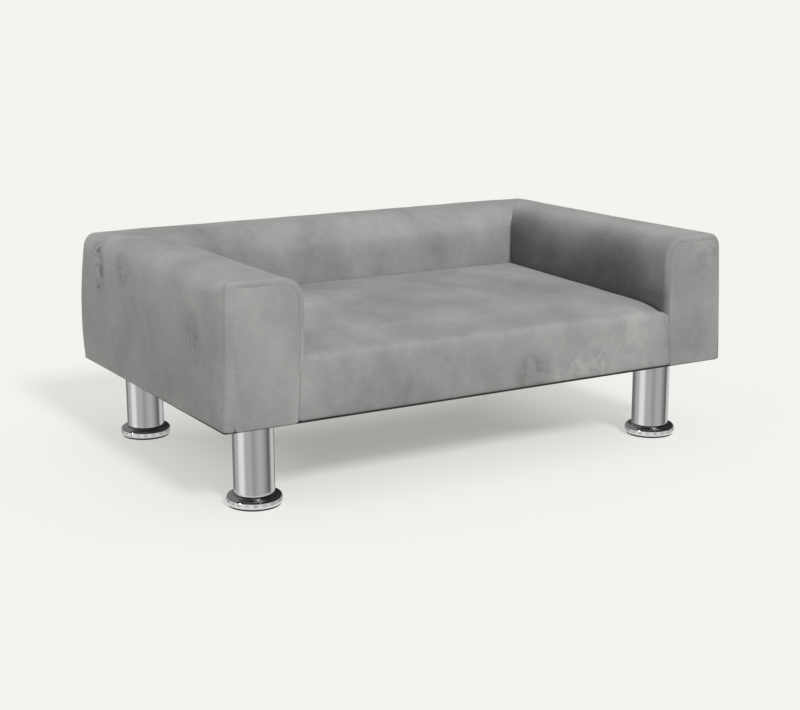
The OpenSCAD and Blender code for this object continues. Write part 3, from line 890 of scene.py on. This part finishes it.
velvet = {
    "mid": 0.274,            # brightness of the cloth at rest
    "tint": (1.0, 1.015, 0.983),
    "stretch": (0.8, 0.5, 0.5),
    # scale, detail, roughness and twist of each noise, and what it adds
    "cloudNoise": (9.0, 2.0, 0.5, 0.0),
    "cloud": 0.16,           # slow change over a hand's width
    "patchNoise": (30.0, 5.0, 0.6, 0.15),
    "patch": 0.13,           # brushed nap, a few centimetres
    "brushNoise": (11.0, 8.0, 0.62, 0.5),
    "brushEdge": (-0.04, 0.06),
    "brush": 0.022,          # where the nap lies the other way
    "smallNoise": (90.0, 4.0, 0.65, 0.3),
    "small": 0.07,
    "pileNoise": (1600.0, 2.0, 0.6, 0.0),
    "pile": 0.10,
    "mark": 0.16,            # pressed marks and painted light and shade
    "markFull": 0.2,         # share of a mark's reach within which it is full
    "raggedBelow": 0.06,     # a mark that reaches less far has a ragged edge
    "raggedEdge": (-0.16, 0.14),
    "soft": 0.45,            # and a wider one is this much fainter
    "rough": 0.85,
    "shine": 0.25,
    "sheen": 0.25,
    "sheenRough": 0.4,
    "patchBump": (0.2, 0.001),
    "pileBump": (0.4, 0.0002),
}
# Pressed nap marks mixed with painted light and shade: place, reach, darker or lighter
napMarksAndPaintedShading = [
    ((-0.351, 0.156, 0.257), 0.028, -0.8),
    ((-0.351, 0.150, 0.241), 0.030, -0.9),
    ((-0.351, 0.144, 0.224), 0.028, -0.9),
    ((-0.351, 0.137, 0.208), 0.022, -0.7),
    ((-0.351, 0.074, 0.250), 0.024, -0.7),
    ((-0.351, 0.064, 0.236), 0.024, -0.6),
    ((-0.350, -0.140, 0.206), 0.030, -0.5),
    ((-0.350, -0.149, 0.184), 0.028, -0.5),
    ((-0.350, -0.081, 0.146), 0.050, -0.35),
    ((0.325, -0.225, 0.240), 0.030, 0.25),
    # the front faces get darker towards the bottom
    ((0.310, -0.225, 0.115), 0.085, -0.7),
    ((0.300, -0.225, 0.235), 0.070, -0.25),
    ((-0.300, -0.225, 0.105), 0.070, -0.5),
    ((-0.140, -0.226, 0.108), 0.120, -0.9),
    ((0.020, -0.226, 0.104), 0.090, -0.5),
    ((0.180, -0.226, 0.150), 0.080, 0.35),
    ((-0.100, 0.115, 0.235), 0.160, -0.4),
    # painted light on the seat beside the left arm, against the shade there
    ((-0.210, 0.020, 0.195), 0.130, 1.6),
    ((0.040, -0.215, 0.178), 0.080, 0.2),
    ((-0.020, -0.170, 0.186), 0.090, 0.1),
    # painted highlight on the front of the left arm's top
    ((-0.300, -0.170, 0.268), 0.100, 0.7),
    ((0.235, -0.226, 0.140), 0.065, -0.1),
    ((-0.285, -0.225, 0.165), 0.075, 0.35),
    # painted light on the seat beside the left arm, against the shade there
    ((-0.210, -0.060, 0.190), 0.110, 1.1),
    ((-0.220, 0.115, 0.225), 0.085, -0.8),
    # painted highlight on the front of the right arm's top
    ((0.300, -0.170, 0.268), 0.080, 0.6),
    ((0.150, -0.226, 0.120), 0.045, 0.3),
    ((0.110, -0.226, 0.114), 0.035, 0.35),
    ((0.060, -0.226, 0.120), 0.040, -0.6),
    ((0.205, -0.226, 0.150), 0.045, 0.2),
    ((0.352, -0.225, 0.180), 0.065, 0.5),
]


def makeVelvet():
    s = velvet
    material, tree, shader = newMaterial("greyVelvet", Roughness=s["rough"], Specular_IOR_Level=s["shine"],
                                         Sheen_Weight=s["sheen"], Sheen_Roughness=s["sheenRough"])
    coords = addNode(tree, "TexCoord").outputs["Object"]
    shift = addNode(tree, "Attribute", {"attribute_name": "napShift"})
    place = addNode(tree, "VectorMath", {"operation": "ADD"})
    wire(tree, coords, place.inputs[0])
    wire(tree, shift.outputs["Vector"], place.inputs[1])
    stretch = addNode(tree, "Mapping", Scale=s["stretch"])
    wire(tree, place.outputs[0], stretch.inputs["Vector"])

    def cloud(source, name):
        scale, detail, rough, twist = s[name + "Noise"]
        node = addNode(tree, "TexNoise", Scale=scale, Detail=detail, Roughness=rough, Distortion=twist)
        wire(tree, source, node.inputs["Vector"])
        return mathNode(tree, "SUBTRACT", node.outputs["Fac"], 0.5)

    patch, small = cloud(stretch.outputs[0], "patch"), cloud(place.outputs[0], "small")
    pile = cloud(coords, "pile")
    total = mathNode(tree, "MULTIPLY_ADD", cloud(place.outputs[0], "cloud"), s["cloud"], s["mid"])
    total = mathNode(tree, "MULTIPLY_ADD", patch, s["patch"], total)
    brush = smoothStep(tree, cloud(stretch.outputs[0], "brush"), *s["brushEdge"])
    total = mathNode(tree, "MULTIPLY_ADD", brush, s["brush"], total)
    # painted light and shade of the arm covers, added to the cloth's colour
    painted = addNode(tree, "Attribute", {"attribute_name": "paintedShading"})
    total = mathNode(tree, "ADD", total, painted.outputs["Fac"])
    ragged = smoothStep(tree, mathNode(tree, "ADD", small, patch), *s["raggedEdge"])
    for spot, reach, amount in napMarksAndPaintedShading:
        away = addNode(tree, "VectorMath", {"operation": "DISTANCE"})
        wire(tree, coords, away.inputs[0])
        away.inputs[1].default_value = spot
        fall = smoothStep(tree, away.outputs["Value"], reach, reach * s["markFull"])
        here = mathNode(tree, "MULTIPLY", fall, ragged if reach < s["raggedBelow"] else s["soft"])
        total = mathNode(tree, "MULTIPLY_ADD", here, amount * s["mark"], total)
    total = mathNode(tree, "MULTIPLY_ADD", small, s["small"], total)
    total = mathNode(tree, "MULTIPLY_ADD", pile, s["pile"], total)
    colour = addNode(tree, "CombineColor")
    for number, share in enumerate(s["tint"]):
        wire(tree, mathNode(tree, "MULTIPLY", total, share), colour.inputs[number])
    wire(tree, colour.outputs[0], shader.inputs["Base Color"])
    bump(tree, pile, shader, *s["pileBump"], bump(tree, patch, shader, *s["patchBump"]))
    return material


def makeMetal(name, colour, rough, grain, scale, along):
    material, tree, shader = newMaterial(name, Metallic=1.0, Base_Color=(*colour, 1))
    coords = addNode(tree, "TexCoord").outputs["Object"]
    stretch = addNode(tree, "Mapping", Scale=along)
    wire(tree, coords, stretch.inputs["Vector"])
    lines = addNode(tree, "TexNoise", Scale=scale, Detail=3.0)
    wire(tree, stretch.outputs[0], lines.inputs["Vector"])
    value = mathNode(tree, "MULTIPLY_ADD", lines.outputs["Fac"], grain, rough)
    wire(tree, value, shader.inputs["Roughness"])
    return material


# What the finishes of the hidden pieces have in common
plainGrain = {
    "stops": (0.3, 0.7),     # where the darker and the lighter colour lie in the noise
    "roughChange": (0.15, -0.07),    # how much the roughness varies, and from where
    "bump": 0.5,
}
woodGrain = {
    "stops": (0.35, 0.65),
    "dark": 0.72,            # the darker grain against the lighter
    "bump": (0.3, 0.0004),
}


def makePlain(name, colour, rough, change, scale, deep=0.0, metallic=0.0):
    s = plainGrain
    material, tree, shader = newMaterial(name, Metallic=metallic)
    coords = addNode(tree, "TexCoord").outputs["Object"]
    grain = addNode(tree, "TexNoise", Scale=scale, Detail=4.0, Roughness=0.6)
    wire(tree, coords, grain.inputs["Vector"])
    dark = tuple(c * (1 - change) for c in colour)
    light = tuple(min(1.0, c * (1 + change)) for c in colour)
    tones = ramp(tree, grain.outputs["Fac"], list(zip(s["stops"], (dark, light))))
    wire(tree, tones, shader.inputs["Base Color"])
    most, least = s["roughChange"]
    change = mathNode(tree, "MULTIPLY_ADD", grain.outputs["Fac"], most, rough + least)
    wire(tree, change, shader.inputs["Roughness"])
    if deep:
        bump(tree, grain.outputs["Fac"], shader, s["bump"], deep)
    return material


def makeWood(name, colour, along, fine):
    s = woodGrain
    material, tree, shader = newMaterial(name, Roughness=0.7)
    coords = addNode(tree, "TexCoord").outputs["Object"]
    stretch = addNode(tree, "Mapping", Scale=along)
    wire(tree, coords, stretch.inputs["Vector"])
    grain = addNode(tree, "TexNoise", Scale=fine, Detail=5.0, Roughness=0.6, Distortion=0.4)
    wire(tree, stretch.outputs[0], grain.inputs["Vector"])
    dark = tuple(c * s["dark"] for c in colour)
    tones = ramp(tree, grain.outputs["Fac"], list(zip(s["stops"], (dark, colour))))
    wire(tree, tones, shader.inputs["Base Color"])
    bump(tree, grain.outputs["Fac"], shader, *s["bump"])
    return material


def cover(piece, material):
    piece.data.materials.clear()
    piece.data.materials.append(material)


print("making materials")
greyVelvet = makeVelvet()
looks = {
    "pine": makeWood("sawnPine", (0.62, 0.44, 0.24), along=(1.0, 1.0, 8.0), fine=30.0),
    "plywood": makeWood("sandedPlywood", (0.58, 0.42, 0.25), along=(1.0, 1.0, 4.0), fine=18.0),
    "foam": makePlain("creamFoam", (0.75, 0.68, 0.42), rough=0.9, change=0.12, scale=900.0, deep=0.0006),
    "grey_plush": greyVelvet,
    "black_lining": makePlain("blackLining", (0.022, 0.022, 0.022), rough=0.85, change=0.5, scale=1400.0,
                              deep=0.0003),
    "zinc_steel": makePlain("zincSteel", (0.60, 0.60, 0.58), rough=0.35, change=0.08, scale=120.0,
                            metallic=1.0),
    "brass": makePlain("turnedBrass", (0.70, 0.50, 0.22), rough=0.3, change=0.08, scale=120.0, metallic=1.0),
    "satin_chrome": makeMetal("satinChrome", (0.74, 0.74, 0.75), rough=0.05, grain=0.08, scale=900.0,
                              along=(1, 1, 0.02)),
    "bright_chrome": makeMetal("brightChrome", (0.80, 0.80, 0.81), rough=0.01, grain=0.03, scale=60.0,
                               along=(1, 1, 1)),
    "black_plastic": makePlain("blackPlastic", (0.015, 0.015, 0.015), rough=0.5, change=0.3, scale=700.0,
                               deep=0.0001),
    "grey_thread": makePlain("greyThread", (0.34, 0.345, 0.335), rough=0.6, change=0.1, scale=900.0,
                             deep=0.0001),
    "white_nylon": makePlain("whiteNylon", (0.80, 0.80, 0.78), rough=0.45, change=0.04, scale=200.0),
}
slotOf = {row["node"]: row["material_slot"] for row in frame["record"]["subparts"]}
for nodeName, node in frame["nodes"].items():
    cover(node, looks[slotOf[nodeName]])

print("making the upholstery")
pads = partUpholstery(makeUpholstery())
pads["seatPad"] = makeSeat()
covers = {
    "leftArmPad": ["left_arm_cover", "left_arm_foam"],
    "rightArmPad": ["right_arm_cover", "right_arm_foam"],
    "leftArmPanel": ["left_arm_front"],
    "rightArmPanel": ["right_arm_front"],
    "backPad": ["back_cover", "back_foam"],
    "seatPad": ["seat_cover", "seat_foam"],
}
for name, nodes in covers.items():
    pad = pads[name]
    cover(pad, greyVelvet)
    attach(pad, "sofa")
    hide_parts(*nodes)

row = makeStitches(pads["leftArmPanel"], "leftStitches")
cover(row, looks["grey_thread"])
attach(row, "sofa")
sheet = makeLining()
cover(sheet, looks["black_lining"])
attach(sheet, "sofa")
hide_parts("base_lining")

print("making the legs")
tube, ring, sole = makeTube(), makeRing(), makeSole()
for number, legName in enumerate(legNames):
    place = Matrix.Translation((*legSpot(legName), 0)) @ Matrix.Rotation(number * legs["turn"], 4, "Z")
    for source, label, node, body, look in (
        (tube, "legTube", "leg_tube_", "sofa", "satin_chrome"),
        (ring, "footRing", "foot_ring_", "foot_" + legName, "bright_chrome"),
        (sole, "footSole", "foot_sole_", "foot_" + legName, "black_plastic"),
    ):
        piece = copyTo(source, label + "_" + legName, place)
        cover(piece, looks[look])
        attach(piece, body)
        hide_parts(node + legName)
for source in (tube, ring, sole):
    bpy.data.objects.remove(source)

# Floor, light and camera
studio = {
    "page": (0.905, 0.896, 0.863),   # the pale ground as the camera sees it
    "floor": (14, (0, 2, 0)),        # side and middle
    # share of the ground's brightness that no shadow takes away, under the middle and away from it
    "glow": (0.37, 0.63),
    "reach": ((0.10, 0.34), (0.02, 0.20)),     # where one changes into the other, in x and in y
    "world": 0.40,
    "dark": 0.06,                    # what the metal sees above the lit band
    "key": (2.30, (-0.02, -1.0, 0.80), 12),    # strength, where it comes from, how wide it looks
    "top": (0.52, (0.06, -0.1, 1.0), 50),
    "side": (0.75, (-1.0, -0.1, 0.015), 8),
}
# Lit slats round each leg, seen in the metal alone
bands = {
    "inner": 0.066,
    "outer": 0.084,
    "step": 0.0035,
    "count": 28,
    "around": 72,
    # direction in degrees and brightness, seen from under and from over the slats
    "under": [(0, 0.04), (45, 0.02), (66, 0.02), (80, 0.10), (95, 0.22), (130, 0.20), (190, 0.08),
              (300, 0.03)],
    "over": [(2, 0.66), (14, 0.50), (28, 0.10), (55, 0.04), (84, 0.05), (98, 0.20), (127, 0.20),
             (143, 0.48), (161, 0.52), (174, 0.90), (195, 0.92), (202, 0.66), (208, 0.50),
             (229, 0.50), (245, 0.36), (266, 0.50), (284, 0.50), (303, 0.33), (320, 0.14),
             (328, 0.18), (342, 0.66)],
}
# Low slats close round each ring, in short light and dark runs
ringBands = {
    "inner": 0.040,
    "outer": 0.050,
    "step": 0.0025,
    "count": 3,
    "around": 72,
    "under": [(0, 0.05), (180, 0.10)],
    "over": [(0, 0.55), (158, 0.30), (170, 0.62), (183, 0.42), (192, 0.85), (204, 0.50), (213, 0.90),
             (226, 0.60), (238, 0.85), (247, 0.45), (258, 0.80), (270, 0.50), (282, 0.72), (296, 0.40),
             (310, 0.60), (325, 0.30)],
}


def makeBand(x, y, s, material, name):
    allOff()
    bpy.ops.mesh.primitive_circle_add(vertices=s["around"], radius=s["inner"],
                                      location=(x, y, s["step"] / 2))
    band = bpy.context.object
    band.name = band.data.name = name
    editOn(band)
    bpy.ops.mesh.select_mode(type="EDGE")
    bpy.ops.mesh.select_all(action="SELECT")
    bpy.ops.mesh.extrude_region_move()
    bpy.ops.transform.resize(value=(s["outer"] / s["inner"],) * 2 + (1,), center_override=(x, y, 0))
    bpy.ops.mesh.select_all(action="SELECT")
    bpy.ops.mesh.normals_make_consistent(inside=False)
    bpy.ops.object.mode_set(mode="OBJECT")
    if band.data.polygons[0].normal.z < 0:
        band.data.flip_normals()
    finishWith(band, "ARRAY", count=s["count"], use_relative_offset=False, use_constant_offset=True,
               constant_offset_displace=(0, 0, s["step"]))
    cover(band, material)
    band.visible_camera = band.visible_diffuse = band.visible_shadow = band.visible_transmission = False


def bandMaterial(name, s):
    material, tree, shader = newMaterial(name, Base_Color=(0, 0, 0, 1), Specular_IOR_Level=0.0,
                                         Emission_Strength=1.0)
    split = addNode(tree, "SeparateXYZ")
    wire(tree, addNode(tree, "TexCoord").outputs["Object"], split.inputs[0])
    turn = mathNode(tree, "ARCTAN2", split.outputs["Y"], split.outputs["X"])
    share = mathNode(tree, "MULTIPLY_ADD", turn, 0.5 / math.pi, 0.5)
    mix = addNode(tree, "Mix", {"data_type": "RGBA"})
    wire(tree, addNode(tree, "NewGeometry").outputs["Backfacing"], mix.inputs["Factor"])
    for part, socket in (("over", 6), ("under", 7)):  # the two colour sockets
        stops = sorted((((degrees + 180) % 360) / 360, (value,) * 3) for degrees, value in s[part])
        wire(tree, ramp(tree, share, stops), mix.inputs[socket])
    wire(tree, mix.outputs[2], shader.inputs["Emission Color"])
    return material


def makeBands():
    wide, low = bandMaterial("litBand", bands), bandMaterial("lowBand", ringBands)
    for legName in legNames:
        makeBand(*legSpot(legName), bands, wide, "litBand_" + legName)
        makeBand(*legSpot(legName), ringBands, low, "lowBand_" + legName)


def addSun(name, strength, source, wide):
    data = bpy.data.lights.new(name, "SUN")
    data.energy = strength
    data.angle = math.radians(wide)
    lamp = bpy.data.objects.new(name, data)
    bpy.context.scene.collection.objects.link(lamp)
    lamp.rotation_euler = Vector(source).to_track_quat("Z", "Y").to_euler()


def makeFloor():
    allOff()
    size, middle = studio["floor"]
    bpy.ops.mesh.primitive_plane_add(size=size, location=middle)
    floor = placeHere(bpy.context.object, "studioFloor")
    page, glow = studio["page"], studio["glow"]
    onFloor = studio["world"]
    for name in ("key", "top", "side"):
        strength, source, wide = studio[name]
        onFloor += strength * Vector(source).normalized().z / math.pi
    material, tree, shader = newMaterial("paleFloor", Roughness=0.9, Specular_IOR_Level=0.0)
    split = addNode(tree, "SeparateXYZ")
    wire(tree, addNode(tree, "TexCoord").outputs["Object"], split.inputs[0])
    away = [smoothStep(tree, mathNode(tree, "ABSOLUTE", split.outputs[axis]), *reach)
            for axis, reach in zip("XY", studio["reach"])]
    share = mathNode(tree, "MULTIPLY_ADD", mathNode(tree, "MAXIMUM", *away), glow[1] - glow[0], glow[0])
    seen = addNode(tree, "LightPath")
    direct = mathNode(tree, "MAXIMUM", seen.outputs["Is Camera Ray"], seen.outputs["Is Glossy Ray"])
    held = mathNode(tree, "MULTIPLY_ADD", mathNode(tree, "SUBTRACT", share, glow[0]), direct, glow[0])
    lit = mathNode(tree, "MULTIPLY", mathNode(tree, "SUBTRACT", 1.0, held), 1 / onFloor)
    colour = addNode(tree, "CombineColor")
    for number in range(3):
        wire(tree, mathNode(tree, "MULTIPLY", lit, page[number]), colour.inputs[number])
    wire(tree, colour.outputs[0], shader.inputs["Base Color"])
    shader.inputs["Emission Color"].default_value = (*page, 1)
    wire(tree, mathNode(tree, "MULTIPLY", direct, share), shader.inputs["Emission Strength"])
    cover(floor, material)
    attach(floor, "foot_front_left")  # so that it stays under the feet when they are screwed out


def makeWorld():
    world = bpy.data.worlds.new("studioWorld")
    bpy.context.scene.world = world
    world.use_nodes = True
    tree = world.node_tree
    light = tree.nodes["Background"]
    light.inputs["Color"].default_value = (1, 1, 1, 1)
    light.inputs["Strength"].default_value = studio["world"]
    seen = addNode(tree, "Background", Color=(*studio["page"], 1))
    shiny = addNode(tree, "Background", Strength=studio["dark"])
    path, last = addNode(tree, "LightPath"), light
    for ray, source in (("Is Camera Ray", seen), ("Is Glossy Ray", shiny)):
        mix = addNode(tree, "MixShader")
        wire(tree, path.outputs[ray], mix.inputs[0])
        wire(tree, last.outputs[0], mix.inputs[1])
        wire(tree, source.outputs[0], mix.inputs[2])
        last = mix
    wire(tree, last.outputs[0], tree.nodes["World Output"].inputs["Surface"])


cameraPlace = {
    "spot": (-0.985995, -1.690618, 0.555871),
    "yaw": -0.5298,
    "pitch": 0.22588,
    "roll": -0.00396,
    "lens": 68.83,
    "sensor": 36,
    "clip": (0.05, 60),
}


def makeCamera():
    s = cameraPlace
    yaw, pitch, roll = s["yaw"], s["pitch"], s["roll"]
    ahead = Vector((-math.sin(yaw) * math.cos(pitch), math.cos(yaw) * math.cos(pitch), -math.sin(pitch)))
    right = Vector((math.cos(yaw), math.sin(yaw), 0))
    up = right.cross(ahead)
    right, up = (right * math.cos(roll) + up * math.sin(roll), up * math.cos(roll) - right * math.sin(roll))
    data = bpy.data.cameras.new("photoCamera")
    data.lens, data.sensor_width, data.sensor_fit = s["lens"], s["sensor"], "AUTO"
    data.clip_start, data.clip_end = s["clip"]
    camera = bpy.data.objects.new("photoCamera", data)
    bpy.context.scene.collection.objects.link(camera)
    camera.matrix_world = Matrix.Translation(s["spot"]) @ Matrix((right, up, -ahead)).transposed().to_4x4()
    bpy.context.scene.camera = camera


print("setting up the studio")
makeFloor()
makeWorld()
for name in ("key", "top", "side"):
    addSun(name + "Sun", *studio[name])
makeBands()
makeCamera()
bpy.context.scene.view_settings.view_transform = "Standard"
allOff()
print("done")
